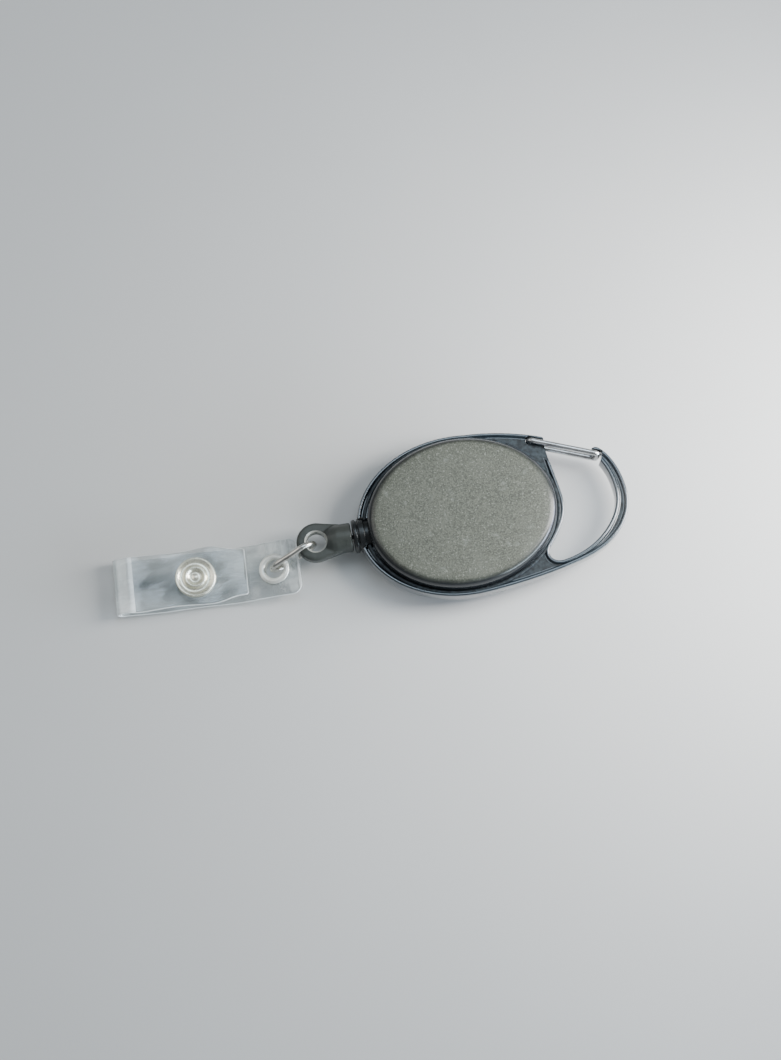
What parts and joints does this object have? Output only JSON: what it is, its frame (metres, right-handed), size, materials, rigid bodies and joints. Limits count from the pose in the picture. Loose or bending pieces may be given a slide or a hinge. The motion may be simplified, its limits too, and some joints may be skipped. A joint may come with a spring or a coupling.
{
  "type": "retractable badge reel",
  "caption": "Oval retractable badge reel in a carabiner case with a wire gate, and a clear vinyl snap strap hung from its cord by a wire link.",
  "frame": {"origin": "centre of the case's flat back, on the axis that the spool turns about", "axes": "+X from the strap to the carabiner, +Y to the gate's side, +Z out of the front face"},
  "size_m": [0.1101, 0.0346, 0.0108],
  "materials": {
    "case_plastic": "gloss black",
    "cover_plastic": "fine sparked texture, dark grey",
    "fitting_plastic": "satin black",
    "spool_plastic": "natural white",
    "spring_steel": "bright drawn wire and strip",
    "plated_steel": "nickel plated",
    "cord": "braided nylon",
    "clear_vinyl": "clear, flexible"
  },
  "bodies": {
    "housing": {"carabiner_case": "case_plastic", "front_cover": "cover_plastic", "cord_bushing": "fitting_plastic", "cord_lead": "cord"},
    "gate": {"gate_wire": "spring_steel"},
    "spool": {"spool": "spool_plastic", "power_spring": "spring_steel", "spring_cover_disc": "spring_steel", "cord_winding": "cord", "cord_anchor_knot": "cord"},
    "cord_end": {"cord_tip": "cord", "cord_end_knot": "cord"},
    "fitting": {"end_fitting": "fitting_plastic"},
    "link": {"wire_link": "plated_steel"},
    "strap": {"strap_tail": "clear_vinyl", "strap_fold": "clear_vinyl", "grommet_eyelet": "plated_steel", "grommet_washer": "plated_steel", "snap_post": "plated_steel", "snap_stud": "plated_steel"},
    "flap": {"strap_flap": "clear_vinyl", "snap_socket": "plated_steel", "snap_spring": "spring_steel", "snap_cap": "plated_steel"}
  },
  "joints": [
    {"name": "cord_pull", "type": "slide", "parent": "housing", "child": "cord_end", "axis": [-0.9998, 0.0209, 0], "range_m": [0, 0.6], "stiffness_N_per_m": 1, "springref_m": -0.6},
    {"name": "spool_spin", "type": "hinge", "parent": "housing", "child": "spool", "pos_m": [0, 0, 0], "axis": [0, 0, 1], "continuous": true, "deforming": ["power_spring"]},
    {"name": "fitting_swivel", "type": "hinge", "parent": "cord_end", "child": "fitting", "pos_m": [-0.0232, 0, 0.0054], "axis": [-0.9998, 0.0209, 0], "continuous": true},
    {"name": "link_swing", "type": "hinge", "parent": "fitting", "child": "link", "pos_m": [-0.0311, 0.00016, 0.0054], "axis": [0, 0, 1], "range_deg": [-60, 60]},
    {"name": "strap_swing", "type": "hinge", "parent": "link", "child": "strap", "pos_m": [-0.03866, -0.00239, 0.00362], "axis": [0.3204, -0.9473, 0], "range_deg": [-8, 42]},
    {"name": "flap_open", "type": "hinge", "parent": "strap", "child": "flap", "pos_m": [-0.07286, -0.00092, 0.0022], "axis": [-0.0663, -0.9978, 0], "range_deg": [0, 150], "deforming": ["strap_fold"]},
    {"name": "gate_open", "type": "hinge", "parent": "housing", "child": "gate", "pos_m": [0.0172, 0.0134, 0.0054], "axis": [0, 0, -1], "range_deg": [0, 28], "stiffness_Nm_per_rad": 0.05, "springref_deg": -8.59}
  ],
  "couplings": [
    {"joint": "spool_spin", "follows": "cord_pull", "rad_per_m": 83.333}
  ]
}
